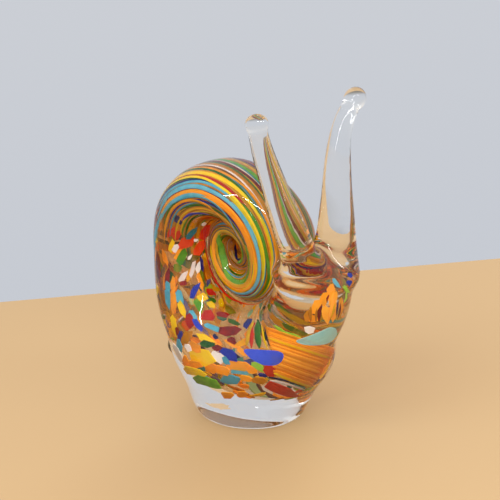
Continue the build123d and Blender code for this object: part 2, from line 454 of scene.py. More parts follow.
def mix_shaders(tree, share, first, second):
    """Two shaders mixed, with a socket or a number as the share of the second."""
    node = tree.nodes.new("ShaderNodeMixShader")
    feed(tree, node.inputs[0], share)
    tree.links.new(first, node.inputs[1])
    tree.links.new(second, node.inputs[2])
    return node.outputs[0]


def coloured(tree, shader, colour, share):
    """Dull coloured glass, mixed with the light that comes through it from behind."""
    shader.inputs["Roughness"].default_value = DULL_ROUGHNESS
    shader.inputs["Specular IOR Level"].default_value = 0
    through = tree.nodes.new("ShaderNodeBsdfTranslucent")
    tree.links.new(colour, shader.inputs["Base Color"])
    tree.links.new(colour, through.inputs["Color"])
    return mix_shaders(tree, share, shader.outputs[0], through.outputs[0])


def let_light_through(tree, shader, code):
    """Finish a material so that light on its way to other pieces passes it, tinted."""
    path = tree.nodes.new("ShaderNodeLightPath")
    shown = mix_shaders(tree, path.outputs["Is Shadow Ray"], shader, add_clear(tree, code))
    tree.links.new(shown, tree.nodes["Material Output"].inputs["Surface"])


DULL_ROUGHNESS = 0.5
GLASS_COLOUR = (0.97, 0.975, 0.97, 1)
GLASS_SHADE = "F6F6F6"
# Painted shade: grey-brown colour of the base, standing in for the shaded floor seen through it
BASE_PAINTED_SHADE = "A08060"
GROUND_HEIGHTS = (0.2 * MM, 0.6 * MM)


def glass_material():
    """Clear glass, roughened by grinding and dull on the base that it stands on, where its colour turns a
    painted grey-brown shade that stands in for the shaded floor seen through the base.
    """
    material, tree, shader = new_material("clear_glass")
    shader.inputs["Transmission Weight"].default_value = 1
    shader.inputs["IOR"].default_value = GLASS_IOR
    place = tree.nodes.new("ShaderNodeTexCoord").outputs["Object"]
    ground_and_shade = add_range(tree, add_height(tree, place), *GROUND_HEIGHTS, 1, 0)
    # Painted shade: the glass colour turns grey-brown on the base, where the shaded floor would show
    # through
    tint = add_ramp(tree, ground_and_shade, ((0, GLASS_COLOUR), (1, linear(BASE_PAINTED_SHADE))))
    tree.links.new(ground_and_shade, shader.inputs["Roughness"])
    tree.links.new(tint, shader.inputs["Base Color"])
    let_light_through(tree, shader.outputs[0], GLASS_SHADE)
    return material


# Seeing the bed of colour through the glass

BED = CASING_WALL + BED_DEPTH / 2
BED_STEP = 3.0
BED_COLUMNS = 72
# Layers that may hold a chip: the bed, then ever further out, into the glass of the foot
CHIP_LAYERS = (BED, 1.5 * MM, -1.5 * MM, -5 * MM)
SIGHT_START = 0.01 * MM
SIGHT_REACH = 25 * MM
SIGHT_FIRST_ANGLE = -86.0


class Layer:
    """One layer of the log, ready to be met by rays."""

    def __init__(self, inset):
        found = log_tube(SIGHT_FIRST_ANGLE, BED_LAST_ANGLE, inset, BED_STEP, BED_COLUMNS)
        self.points, faces, self.angle, self.around = found
        self.faces = faces[:-2]
        self.tree = BVHTree.FromPolygons([tuple(p) for p in self.points], self.faces)

    def meet(self, spot, ray):
        """Winding angle and angle around the log where a ray meets the layer, or None."""
        spot, _, face, _ = self.tree.ray_cast(spot, ray, SIGHT_REACH)
        if spot is None:
            return None
        first, across, _, ahead = self.faces[face]
        corner = self.points[first]
        sides = np.stack([self.points[ahead] - corner, self.points[across] - corner])
        shares = np.linalg.lstsq(sides.T, np.array(spot) - corner, rcond=None)[0]
        angle = self.angle[first] + (self.angle[ahead] - self.angle[first]) * shares[0]
        return angle, self.around[first] + 360 / BED_COLUMNS * shares[1]


class Sight:
    """Finds the place in a layer of the log that shows at a pixel of the photograph."""

    def __init__(self, points, quads):
        self.skin = BVHTree.FromPolygons([tuple(p) for p in points], quads.tolist())
        self.layers = {inset: Layer(inset) for inset in CHIP_LAYERS}
        self.right, self.up, self.back, self.place = camera_axes()

    def look(self, x, y, inset=BED):
        """Winding angle and angle around the log at a pixel, or None where the layer doesn't show."""
        middle = FRAME_PIXELS / 2
        ray = self.right * (x - middle) - self.up * (y - middle) - self.back * FOCAL_PIXELS
        ray.normalize()
        spot, normal, _, _ = self.skin.ray_cast(self.place, ray)
        if spot is None:
            return None
        slant = -ray.dot(normal)
        bend = 1 / GLASS_IOR
        ray = ray * bend + normal * (bend * slant - math.sqrt(1 - bend**2 * (1 - slant**2)))
        return self.layers[inset].meet(spot + ray * SIGHT_START, ray)


def nearest_turn(around, reference):
    """The same angle around the log, within half a turn of a reference."""
    return reference + (around - reference + 180) % 360 - 180


class Pile:
    """Points, faces and tones of one colour's chips or ribbons, gathered into one mesh."""

    def __init__(self):
        self.points, self.faces, self.tones = [], [], []
        self.count = 0

    def add(self, shape, tone):
        """Add a shape of points and faces; None, for one that doesn't show, adds nothing."""
        if shape is None:
            return
        points, faces = shape
        self.faces += [[index + self.count for index in face] for face in faces]
        self.points.append(points)
        self.tones += [tone] * len(points)
        self.count += len(points)

    def piece(self, name, material, slot, node, smooth):
        """Make the piece that stands for a CAD node."""
        points = np.concatenate(self.points)
        piece = make_piece(name, points, self.faces, material, [node], smooth)
        tones = piece.data.attributes.new("tone", "FLOAT", "POINT")
        tones.data.foreach_set("value", np.array(self.tones, np.float32))


# Chips: broken flakes that lie in a layer of the log

CHIP_THICKNESS = 0.5 * MM
# Chips are a little larger than they show, because their neighbours hide their rims
CHIP_GROWTH = 1.15
# Shares of the half length at which the shoulders lie, of the half width there, and of the skew
CHIP_SHOULDERS = (0.15, 0.8)
CHIP_FULLNESS = (0.75, 1.0)
CHIP_SKEW = (-0.5, 0.5)
# Scale of each ring of a chip, and its rise in half thicknesses
CHIP_RINGS = ((0.3, 1.0), (0.65, 1.0), (0.96, 1.0), (1.0, 0.0), (0.96, -1.0), (0.65, -1.0), (0.3, -1.0))
# Widest spread of one chip, as winding angle and as angle around the log
CHIP_LARGEST = (40.0, 80.0)
PATCH_ROUNDINGS = 2


def chip_shape(angles, arounds, depth):
    """Lens-edged chip whose outline is given in its layer, in winding angles and angles around."""
    middle_angle, middle_around = np.mean(angles), np.mean(arounds)
    rings = []
    for scale, rise in CHIP_RINGS:
        ring_angles = middle_angle + (angles - middle_angle) * scale
        ring_arounds = middle_around + (arounds - middle_around) * scale
        rings.append(log_points(ring_angles, ring_arounds, depth - rise * CHIP_THICKNESS / 2))
    return np.concatenate(rings), tube_faces(len(rings), len(angles))


def chip_outline(length, width, slant, dice):
    """Broken flake with straight edges and pointed ends, as offsets from its middle."""
    corners = [(-1, dice.uniform(*CHIP_SKEW))]
    for side in (1, -1):
        rear, front = sorted(dice.uniform(*CHIP_SHOULDERS) for _ in range(2))
        shoulders = [(rear - 1, side * dice.uniform(*CHIP_FULLNESS))]
        shoulders.append((1 - front, side * dice.uniform(*CHIP_FULLNESS)))
        corners += shoulders[::side]
        if side == 1:
            corners.append((1, dice.uniform(*CHIP_SKEW)))
    corners = np.array(corners)
    middles = (corners + np.roll(corners, -1, axis=0)) / 2
    outline = np.stack([corners, middles], 1).reshape(-1, 2)
    across = outline[:, 1] * width / 2
    along_it = outline[:, 0] * length / 2 + dice.uniform(*CHIP_SKEW) * across
    lean = math.radians(slant)
    return (along_it * math.cos(lean) - across * math.sin(lean),
            along_it * math.sin(lean) + across * math.cos(lean))


def seen_outline(sight, outline, inset):
    """Angles on a layer for an outline in pixels, or None where the layer doesn't show all of it."""
    places = [sight.look(x, y, inset) for x, y in outline]
    if None in places:
        return None
    angles = np.array([p[0] for p in places])
    arounds = np.array([nearest_turn(p[1], places[0][1]) for p in places])
    if np.ptp(angles) > CHIP_LARGEST[0] or np.ptp(arounds) > CHIP_LARGEST[1]:
        return None
    return angles, arounds


def seen_flake(sight, outline, offset):
    """Flake that shows inside an outline in pixels, in the first layer that shows it all."""
    for inset in CHIP_LAYERS:
        found = seen_outline(sight, outline, inset)
        if found:
            return chip_shape(*found, inset + offset)
    return None


def seen_chip(sight, x, y, length, width, slant, offset, dice):
    """Chip that shows at a pixel, with its size in pixels."""
    along_it, across = chip_outline(length * CHIP_GROWTH, width * CHIP_GROWTH, slant, dice)
    return seen_flake(sight, list(zip(x + along_it, y + across)), offset)


def seen_patch(sight, outline, offset):
    """Large flat patch of colour with a rounded outline given in pixels."""
    corners = np.array(outline, float)
    for _ in range(PATCH_ROUNDINGS):
        ahead = np.roll(corners, -1, axis=0)
        cuts = [corners * 0.75 + ahead * 0.25, corners * 0.25 + ahead * 0.75]
        corners = np.stack(cuts, 1).reshape(-1, 2)
    return seen_flake(sight, corners, offset)


def loose_chip(angle, around, length, width, slant, depth, dice):
    """Chip at a place in the bed, with its size in metres."""
    here = log_points(angle, around, depth)
    per_angle = np.linalg.norm(log_points(angle + 1, around, depth) - here)
    per_around = np.linalg.norm(log_points(angle, around + 1, depth) - here)
    offsets = chip_outline(length, width, slant, dice)
    return chip_shape(angle + offsets[0] / per_angle, around + offsets[1] / per_around, depth)


# Ribbons and strips: colour drawn out along the log

RIBBON_THICKNESS = 0.6 * MM
RIBBON_STEP = 3.0
RIBBON_FEWEST_ROWS = 8
RIBBON_SECTION = ((-1, 0), (-0.6, 0.8), (0, 1), (0.6, 0.8), (1, 0), (0.6, -0.8), (0, -1), (-0.6, -0.8))
# Rows in which a pointed end grows to the full width, and the least share of that width
RIBBON_POINT = (6, 0.05)
RIBBON_POINT_CURVE = 0.7
STRIP_POINT = (2, 0.1)
POINT_START = 0.3
# Span along the log, and size, of the slow changes of a ribbon's lane, width and depth
LANE_DRIFT = (120, 5)
WIDTH_DRIFT = (90, 0.5)
DEPTH_DRIFT = (100, 0.4 * MM)
SEEN_WIDTH_DRIFT = (90, 0.35)
# Places further than this along the log from the middle of a ribbon are on another turn
RIBBON_REACH = 110.0
SMOOTHING_ROWS = 7
STRIP_STEP_PIXELS = 3
STRIP_FEWEST_ROWS = 5


def pointed(count, rows, least):
    """Share of the full width at each row of a ribbon that is pointed at both ends."""
    from_end = np.minimum(np.arange(count), np.arange(count)[::-1])
    return np.clip((from_end + POINT_START) / rows, least, 1)


def ribbon_angles(first, last):
    """Winding angles of a ribbon's rows."""
    return np.linspace(first, last, max(RIBBON_FEWEST_ROWS, round((last - first) / RIBBON_STEP)))


def ribbon_shape(angles, arounds, halves, depths):
    """Flat drawn-out ribbon of colour with thin edges and pointed ends."""
    halves = halves * pointed(len(angles), *RIBBON_POINT) ** RIBBON_POINT_CURVE
    rings = [log_points(angles, arounds + halves * across, depths - rise * RIBBON_THICKNESS / 2)
             for across, rise in RIBBON_SECTION]
    points = np.stack(rings, 1).reshape(-1, 3)
    return points, tube_faces(len(angles), len(RIBBON_SECTION))


def drift(angles, dice, span, size):
    """Slow wander along the log."""
    start = dice.uniform(0, 100)
    return np.array([noise.noise((angle / span + start, start, 0)) for angle in angles]) * size


def lane_ribbon(around, half, first, last, depth, dice):
    """Ribbon along one lane of the log."""
    angles = ribbon_angles(first, last)
    arounds = around + drift(angles, dice, *LANE_DRIFT)
    halves = half * (1 + drift(angles, dice, *WIDTH_DRIFT))
    depths = depth + drift(angles, dice, *DEPTH_DRIFT)
    return ribbon_shape(angles, arounds, halves, depths)


def seen_ribbon(sight, width, places, lead, tail, depth, dice):
    """Ribbon through pixels of the photograph, carried on along the log past both ends."""
    found = [sight.look(x, y) for x, y in places]
    found = sorted(p for p in found if p is not None)
    centre = found[len(found) // 2][0] if found else 0
    found = [p for p in found if abs(p[0] - centre) < RIBBON_REACH]
    if len(found) < 2:
        return None
    knots = np.array([p[0] for p in found])
    turns = [found[0][1]]
    for place in found[1:]:
        turns.append(nearest_turn(place[1], turns[-1]))
    angles = ribbon_angles(knots[0] - lead, knots[-1] + tail)
    arounds = np.pad(np.interp(angles, knots, turns), SMOOTHING_ROWS // 2, mode="edge")
    arounds = np.convolve(arounds, np.ones(SMOOTHING_ROWS) / SMOOTHING_ROWS, "valid")
    middle = len(knots) // 2
    here = log_points(knots[middle], turns[middle], depth)
    aside = log_points(knots[middle], turns[middle] + 1, depth)
    half = width / 2 * VIEW_DISTANCE / FOCAL_PIXELS / np.linalg.norm(aside - here)
    halves = half * (1 + drift(angles, dice, *SEEN_WIDTH_DRIFT))
    return ribbon_shape(angles, arounds, halves, np.full(len(angles), depth))


def seen_strip(sight, width, places, depth):
    """Short strip through pixels of the photograph, in any direction."""
    places = np.array(places, float)
    lengths = np.concatenate([[0], np.cumsum(np.linalg.norm(np.diff(places, axis=0), axis=1))])
    rows = max(STRIP_FEWEST_ROWS, round(lengths[-1] / STRIP_STEP_PIXELS))
    marks = np.linspace(0, lengths[-1], rows)
    path = np.stack([np.interp(marks, lengths, places[:, k]) for k in (0, 1)], -1)
    heading = np.gradient(path, axis=0)
    heading /= np.linalg.norm(heading, axis=1)[:, None]
    half = width / 2 * pointed(rows, *STRIP_POINT)[:, None]
    aside = np.stack([-heading[:, 1], heading[:, 0]], -1) * half
    found = [sight.look(*p) for p in np.concatenate([path + aside, path - aside])]
    if None in found:
        return None
    left, right = np.array([p[0] for p in found]).reshape(2, rows, 1)
    left_around, right_around = np.array(
        [nearest_turn(p[1], found[0][1]) for p in found]).reshape(2, rows, 1)
    across, rises = np.array(RIBBON_SECTION).T
    share = (1 + across) / 2
    points = log_points(left + (right - left) * share,
                        left_around + (right_around - left_around) * share,
                        depth - rises * RIBBON_THICKNESS / 2)
    return points.reshape(-1, 3), tube_faces(rows, len(RIBBON_SECTION))


# Chips that show in the photograph: place, length, width and slant in its pixels and degrees, and tone
SEEN_CHIPS = {
    "yellow": (
        (203, 357, 25, 15, 15, 0.7), (195, 372, 21, 7, 12, 0.6), (205, 339, 19, 7, 25, 0.7),
        (174, 326, 20, 5, 82, 0.6), (183, 309, 17, 6, 70, 0.5), (203, 298, 10, 9, 30, 0.5),
        (171, 246, 13, 5, -80, 0.5), (212, 305, 9, 6, 40, 0.4), (221, 303, 8, 5, 70, 0.3),
        (262, 378, 12, 4, 12, 0.3), (303, 378, 10, 4, 15, 0.4),
    ),
    "white": (
        (219, 357, 14, 11, 60, 0.7), (179, 353, 21, 4, 62, 0.6), (189, 347, 8, 5, 50, 0.8),
        (176, 248, 8, 5, -60, 0.5), (199, 266, 13, 5, -70, 0.6), (193, 269, 16, 4, -75, 0.3),
        (184, 276, 12, 5, -60, 0.3), (310, 330, 10, 7, -10, 0.8), (204, 224, 5, 3, -30, 0.8),
        (190, 257, 6, 3, -60, 0.7), (196, 240, 4, 3, 0, 0.8),
    ),
    "cobalt": (
        (231, 354, 18, 9, 42, 0.4), (180, 337, 11, 5, 76, 0.4), (195, 290, 17, 6, -62, 0.4),
        (198, 325, 14, 5, 55, 0.7), (248, 323, 11, 5, -50, 0.2), (178, 220, 9, 7, 30, 0.1),
        (202, 264, 14, 3, 85, 0.1), (263, 375, 9, 3, 10, 0.2),
        (215, 337, 6, 4, 45, 0.1), (350, 275, 5, 4, 60, 0.5), (349, 282, 5, 4, -30, 0.4),
    ),
    "red": (
        (270, 370, 12, 11, 0, 0.6), (190, 321, 15, 8, 75, 0.3), (208, 315, 13, 11, 0, 0.4),
        (223, 315, 12, 5, 10, 0.2), (231, 331, 21, 9, -5, 0.1), (219, 349, 12, 6, 35, 0.1),
        (178, 331, 8, 3, 85, 0.1), (211, 292, 8, 7, 0, 0.4), (171, 232, 12, 6, -65, 0.6),
        (177, 235, 10, 7, -60, 0.6), (187, 242, 16, 12, -60, 0.9), (205, 232, 17, 8, -55, 0.7),
        (200, 248, 17, 8, -60, 1.0), (167, 276, 16, 4, -85, 0.1), (282, 389, 33, 9, 20, 0.7),
        (158, 267, 30, 4, 88, 0.05), (233, 340, 9, 6, 20, 0.1), (184, 283, 7, 5, 0, 0.2),
    ),
    "sky_blue": (
        (231, 380, 20, 9, -4, 0.4), (240, 372, 17, 5, 8, 0.6), (201, 368, 12, 5, 35, 0.2),
        (207, 378, 7, 4, 20, 0.1), (179, 346, 13, 5, 65, 0.4), (168, 299, 18, 5, 88, 0.4),
        (180, 297, 14, 7, 75, 0.4), (194, 316, 13, 5, 55, 0.5), (214, 328, 20, 5, 22, 0.5),
        (227, 360, 10, 5, 50, 0.3), (192, 233, 15, 6, -50, 0.0), (168, 288, 14, 5, 85, 0.4),
        (300, 387, 12, 5, 20, 0.5), (336, 283, 11, 4, 50, 0.6),
    ),
    "green": (
        (346, 289, 9, 3, 60, 1.0), (207, 382, 27, 8, 18, 0.6), (259, 366, 14, 6, 35, 1.0),
        (208, 344, 13, 7, 15, 0.0), (199, 305, 13, 8, 60, 0.5), (182, 257, 17, 8, -65, 0.4),
        (212, 300, 7, 5, 0, 0.1),
    ),
    "orange": (
        (242, 352, 13, 5, 40, 0.7), (239, 366, 23, 9, 5, 0.6), (252, 370, 10, 7, 20, 0.6),
        (247, 378, 13, 5, 8, 0.7), (212, 369, 17, 9, 20, 0.5), (223, 370, 13, 8, 10, 0.6),
        (193, 364, 19, 7, 8, 0.4), (196, 347, 12, 8, 30, 0.4), (187, 337, 9, 12, 0, 0.1),
        (174, 301, 24, 6, 88, 0.4), (173, 285, 16, 5, 85, 0.4),
        (200, 281, 17, 5, 70, 0.5), (178, 253, 13, 3, -60, 0.6), (228, 395, 12, 6, 5, 0.6),
        (242, 395, 10, 6, -5, 0.6), (260, 379, 14, 6, 8, 0.2), (216, 345, 18, 4, 32, 0.6),
        (232, 344, 16, 3, 32, 0.5), (186, 360, 10, 6, 60, 0.5),
        (331, 290, 11, 8, -60, 0.6), (325, 298, 14, 8, -60, 0.5), (316, 306, 15, 8, -65, 0.6),
        (308, 315, 13, 7, -60, 0.2), (313, 319, 13, 7, 10, 0.5), (333, 300, 15, 8, -80, 0.8),
        (334, 313, 17, 7, 85, 0.7), (326, 315, 17, 8, 85, 0.9), (341, 306, 16, 4, 88, 0.3),
        (306, 356, 16, 6, -5, 0.6), (321, 352, 14, 5, -20, 0.5),
    ),
}
# Ribbons of the coil: width in pixels, tone, how far they run on before and after, and pixels on them
SEEN_RIBBONS = {
    "yellow": (
        (3.5, 0.6, 60, 330,
         ((217, 177), (230, 184), (242, 192), (252, 206), (262, 220), (270, 242), (276, 268))),
        (2.5, 0.7, 60, 200, ((184, 178), (200, 177), (215, 184), (228, 192), (240, 204))),
        (4.5, 0.4, 10, 60, ((236, 203), (245, 213), (252, 224))),
        (5, 0.5, 60, 90, ((247, 288), (238, 291), (230, 287))),
        (2, 0.5, 60, 200, ((205, 174), (222, 177), (236, 184))),
    ),
    "sky_blue": (
        (3, 0.5, 40, 90, ((186, 183), (197, 181), (209, 184), (221, 190))),
        (4, 0.6, 40, 160, ((180, 189), (195, 186), (207, 190), (220, 196), (232, 205), (239, 213))),
        (3.5, 0.5, 30, 260, ((252, 230), (258, 240), (263, 255), (264, 270), (260, 288))),
        (2, 0.3, 40, 160, ((205, 198), (217, 205), (227, 215), (234, 227), (238, 237))),
        (4, 0.5, 12, 40, ((174, 201), (164, 213), (157, 230), (154, 247))),
    ),
    "orange": (
        (4, 0.5, 40, 200, ((178, 195), (191, 191), (203, 192), (213, 198))),
        (6, 0.6, 60, 300, ((235, 217), (244, 232), (250, 248), (250, 267), (247, 283))),
        (3, 0.3, 60, 200, ((188, 200), (203, 203), (214, 210), (222, 220))),
        (2, 0.4, 60, 200, ((215, 242), (215, 255), (216, 266))),
        (2, 0.4, 60, 300, ((230, 177), (245, 187), (258, 202), (266, 218))),
    ),
    "green": (
        (7, 0.6, 120, 200, ((220, 232), (222, 247), (225, 262), (230, 280))),
        (3.5, 0.4, 50, 160, ((266, 256), (269, 272), (263, 293))),
        (5, 0.5, 60, 90, ((232, 162), (242, 166), (253, 174))),
        (3, 0.1, 50, 90, ((205, 169), (213, 171), (222, 175))),
    ),
    "red": (
        (4, 0.0, 90, 90, ((224, 163), (238, 170), (250, 178), (257, 185))),
        (2.5, 0.1, 25, 90, ((171, 197), (160, 210), (154, 227))),
        (2.5, 0.5, 40, 90, ((243, 303), (232, 300), (224, 292))),
    ),
    "cobalt": (
        (3, 0.6, 4, 4, ((190, 195), (203, 193))),
        (3, 0.4, 8, 8, ((185, 217), (196, 213), (205, 214))),
        (3, 0.0, 40, 60, ((236, 251), (238, 260), (240, 270))),
    ),
}
# Strips seen through the chest: colour, width in pixels, tone and pixels on them
CHEST_STRIPS = (
    ("yellow", 4, 0.3, ((254, 321), (249, 333), (247, 346))),
    ("red", 4, 0.6, ((253, 327), (252, 338), (252, 348))),
    ("green", 6, 0.2, ((258, 321), (258, 335), (260, 348))),
    ("yellow", 2, 0.5, ((262, 325), (264, 338), (268, 349))),
    ("cobalt", 1.5, 0.0, ((265, 327), (267, 338), (272, 350))),
    ("green", 4, 0.9, ((274, 325), (285, 333), (301, 337))),
    ("orange", 4, 0.1, ((311, 306), (310, 313), (311, 321))),
    ("red", 4, 0.0, ((322, 304), (319, 312), (319, 322))),
    ("orange", 3, 0.0, ((317, 308), (316, 315), (316, 322))),
    ("red", 2, 0.0, ((329, 294), (327, 298), (327, 303))),
    ("orange", 4, 1.0, ((333, 292), (332, 303), (329, 320))),
    ("yellow", 3, 0.3, ((335, 303), (333, 311), (330, 319))),
    ("cobalt", 2, 0.0, ((338, 300), (337, 308), (336, 316))),
    ("green", 2, 1.0, ((342, 286), (346, 291), (346, 298), (343, 304))),
    ("orange", 3, 0.4, ((342, 300), (342, 308), (339, 318))),
    ("red", 2, 0.0, ((340, 303), (340, 311), (337, 319))),
    ("cobalt", 2, 0.0, ((269, 376), (287, 380), (307, 386))),
    ("white", 2, 0.3, ((270, 379), (287, 383), (304, 389))),
)
PERIWINKLE_PATCH = ((242, 348), (260, 349), (282, 350), (285, 356), (279, 364), (264, 364), (252, 358))
TURQUOISE_PATCH = ((294, 340), (307, 336), (321, 330), (330, 326), (336, 328), (337, 335), (331, 342),
                   (319, 345), (303, 344))
# Fan of fine orange strips on the chest, between two lines of pixels
FAN_ROOT = ((266, 324), (274, 372))
FAN_RIM = ((337, 346), (312, 387))
FAN_STRIPS = 64
FAN_WIDTHS = (1.5, 4)
FAN_RISES = (0, 0.8 * MM)
FAN_TONES = (0.5, 1)
# The fan's yellow strips: how many strips apart, and the number of the first
FAN_YELLOW_EVERY = 15
FAN_FIRST_YELLOW = 3
# How far what the photograph shows lies from the middle of its layer; a rise is towards the surface
CHIP_OFFSETS = (-0.8 * MM, 0.6 * MM)
RIBBON_RISES = (0.3 * MM, 0.9 * MM)
STRIP_RISE = 0.5 * MM
PATCH_RISE = 1 * MM
PATCH_TONE = 1.0
# How often each colour is drawn for the glass that is strewn freely
WEIGHTS = {"orange": 28, "yellow": 18, "sky_blue": 12, "cobalt": 9, "green": 15, "red": 5, "white": 4}
# Ribbons that fill the lanes of the coil: shift in the lane, share of the lane that is filled, and ends
RIBBON_LANES = 88
LANE_SHIFTS = (0, 0.8)
LANE_FILLS = (0.4, 1.3)
LANE_DEPTHS = (0, 0.8 * MM)
LANE_TONES = (0, 0.4)
LANE_STARTS = (95, 150)
LANE_ENDS = (520, 780)
# On the outer side of the coil, out to this cosine, they start further down the back
LANE_OUTER_COSINE = 0.6
LANE_OUTER_STARTS = (30, 100)
# Chips strewn over the flanks, belly and back
CHIP_COUNT = 480
STREWN_ANGLES = (-30, 118)
STREWN_AROUNDS = (-165, 165)
STREWN_LENGTHS = (3.5 * MM, 9 * MM)
STREWN_WIDTHS = (1.6 * MM, 3.4 * MM)
STREWN_DEPTHS = (0.2 * MM, 1.0 * MM)
STREWN_SLANT = 22
# On the right flank, where the photograph shows the chips, a share is left out and the rest lie deeper
FLANK_FROM = 15
FLANK_FROM_BACK = 65
BACK_FROM = 40
FLANK_LEFT_OUT = 0.4
FLANK_DEPTH = 1.5 * MM


def draw_colour(dice):
    """Colour drawn by the weights."""
    return dice.choices(list(WEIGHTS), list(WEIGHTS.values()))[0]


def put_seen_colours(sight, chips, ribbons, dice):
    """Chips and ribbons that the photograph shows."""
    for colour, rows in SEEN_CHIPS.items():
        for x, y, length, width, slant, tone in rows:
            offset = dice.uniform(*CHIP_OFFSETS)
            shape = seen_chip(sight, x, y, length, width, slant, offset, dice)
            chips[colour].add(shape, tone)
    for colour, rows in SEEN_RIBBONS.items():
        for width, tone, lead, tail, places in rows:
            depth = BED - dice.uniform(*RIBBON_RISES)
            shape = seen_ribbon(sight, width, places, lead, tail, depth, dice)
            ribbons[colour].add(shape, tone)
    for colour, width, tone, places in CHEST_STRIPS:
        ribbons[colour].add(seen_strip(sight, width, places, BED - STRIP_RISE), tone)
    chips["cobalt"].add(seen_patch(sight, PERIWINKLE_PATCH, -PATCH_RISE), PATCH_TONE)
    chips["sky_blue"].add(seen_patch(sight, TURQUOISE_PATCH, -PATCH_RISE), PATCH_TONE)


def put_fan(sight, ribbons, dice):
    """Fan of fine strips on the chest."""
    for strip in range(FAN_STRIPS):
        share = strip / (FAN_STRIPS - 1)
        ends = [np.array(a) * (1 - share) + np.array(b) * share for a, b in (FAN_ROOT, FAN_RIM)]
        colour = "yellow" if strip % FAN_YELLOW_EVERY == FAN_FIRST_YELLOW else "orange"
        shape = seen_strip(sight, dice.uniform(*FAN_WIDTHS), ends, BED - dice.uniform(*FAN_RISES))
        ribbons[colour].add(shape, dice.uniform(*FAN_TONES))


def strew_ribbons(ribbons, dice):
    """Ribbons side by side all round the coil."""
    for lane in range(RIBBON_LANES):
        around = 360 * (lane + dice.uniform(*LANE_SHIFTS)) / RIBBON_LANES
        colour = draw_colour(dice)
        outer = math.cos(math.radians(around)) > LANE_OUTER_COSINE
        first = dice.uniform(*(LANE_OUTER_STARTS if outer else LANE_STARTS))
        last = dice.uniform(*LANE_ENDS)
        half = 180 / RIBBON_LANES * dice.uniform(*LANE_FILLS)
        shape = lane_ribbon(around, half, first, last, BED + dice.uniform(*LANE_DEPTHS), dice)
        ribbons[colour].add(shape, dice.uniform(*LANE_TONES))


def strew_chips(chips, dice):
    """Chips over the flanks, belly and back."""
    for _ in range(CHIP_COUNT):
        angle, around = dice.uniform(*STREWN_ANGLES), dice.uniform(*STREWN_AROUNDS)
        on_flank = around > (FLANK_FROM_BACK if angle > BACK_FROM else FLANK_FROM)
        if on_flank and dice.random() < FLANK_LEFT_OUT:
            continue
        colour = draw_colour(dice)
        length, width = dice.uniform(*STREWN_LENGTHS), dice.uniform(*STREWN_WIDTHS)
        depth = BED + dice.uniform(*STREWN_DEPTHS) + (FLANK_DEPTH if on_flank else 0)
        shape = loose_chip(angle, around, length, width, dice.gauss(0, STREWN_SLANT), depth, dice)
        chips[colour].add(shape, dice.random())


def colour_piles(sight):
    """All the chips and ribbons, in one pile for each colour."""
    dice = random.Random(SEED)
    chips = {colour: Pile() for colour in TONES}
    ribbons = {colour: Pile() for colour in TONES}
    put_seen_colours(sight, chips, ribbons, dice)
    put_fan(sight, ribbons, dice)
    strew_ribbons(ribbons, dice)
    strew_chips(chips, dice)
    return chips, ribbons


COLOUR_TRANSLUCENCY = 0.35
COLOUR_SHADE = "EADFCC"
MOTTLE_SCALE = 350
MOTTLE_DETAIL = 4
MOTTLE_SPAN = 0.5


def colour_material(colour):
    """Opaque coloured glass: each chip has its own tone, mottled a little."""
    material, tree, shader = new_material(f"{colour}_glass")
    place = tree.nodes.new("ShaderNodeTexCoord").outputs["Object"]
    mottle = add_noise(tree, place, MOTTLE_SCALE, MOTTLE_DETAIL)
    tone = add_math(tree, "MULTIPLY_ADD", mottle, MOTTLE_SPAN, add_attribute(tree, "tone"))
    tone = add_math(tree, "ADD", tone, -MOTTLE_SPAN / 2)
    tint = add_ramp(tree, tone, [(k / 2, linear(code)) for k, code in enumerate(TONES[colour])])
    let_light_through(tree, coloured(tree, shader, tint, COLOUR_TRANSLUCENCY), COLOUR_SHADE)
    return material


# Amber veil round the core of the log

VEIL_STEP = 4.0
VEIL_COLUMNS = 60
VEIL_END_GAP = 1.0
VEIL_TRANSLUCENCY = 0.5
VEIL_CLEAR = "FAF0E0"
VEIL_SHADE = "F0D8AC"
VEIL_STOPS = ((0.28, "74460F"), (0.42, "A46E1A"), (0.52, "BE8A24"), (0.62, "D89C26"), (0.75, "EABE58"))
# Streaks and clouds of the veil in one turn along the log and one turn around it
STREAK_COUNTS = (5, 60, 1)
STREAK_DETAIL = 5
CLOUD_COUNTS = (6, 22, 1)
CLOUD_DETAIL = 3
# Weights of the clouds and of the cover, and their sum at which the veil starts to close
CLOUD_WEIGHT = 2.2
COVER_WEIGHT = 1.6
COVER_START = 1.4
# Cover of the coil: winding angle at its middle, and how softly it sets in
COIL_COVER_MIDDLE = 95.0
COIL_COVER_EASE = 14.0
# Cover of the chest: its winding angles, the angle around at its middle, and the cosine at its sides
CHEST_COVER_FIRST = -62.0
CHEST_COVER_LAST = -18.0
CHEST_COVER_EASE = 12.0
CHEST_COVER_AROUND = 30.0
CHEST_COVER_COSINE = 0.6
CHEST_COVER_COSINE_EASE = 0.2
# Cover of the flanks, and of the neck, where less than 0 keeps the clouds clear too
FLANK_COVER = 0.35
FLANK_COVER_FIRST = -25.0
FLANK_COVER_EASE = 30.0
NECK_COVER = -0.3
NECK_COVER_EASE = 20.0


def grow(value, start, ease):
    """From 0 at a start to 1 where the ease ends."""
    return np.clip((value - start) / ease, 0, 1)


def veil_cover(angle, around):
    """How much of the amber veil is closed: the coil and the chest, little of the flanks, not the neck."""
    coil = 1 / (1 + np.exp(-(angle - COIL_COVER_MIDDLE) / COIL_COVER_EASE))
    facing = np.cos(np.radians(around - CHEST_COVER_AROUND))
    chest = grow(facing, CHEST_COVER_COSINE, CHEST_COVER_COSINE_EASE)
    chest *= grow(angle, CHEST_COVER_FIRST, CHEST_COVER_EASE)
    chest *= grow(-angle, -CHEST_COVER_LAST, CHEST_COVER_EASE)
    flank = FLANK_COVER * grow(angle, FLANK_COVER_FIRST, FLANK_COVER_EASE)
    flank += NECK_COVER * grow(-angle, -FLANK_COVER_FIRST, NECK_COVER_EASE)
    return np.clip(np.maximum(np.maximum(coil, chest), flank), NECK_COVER, 1)


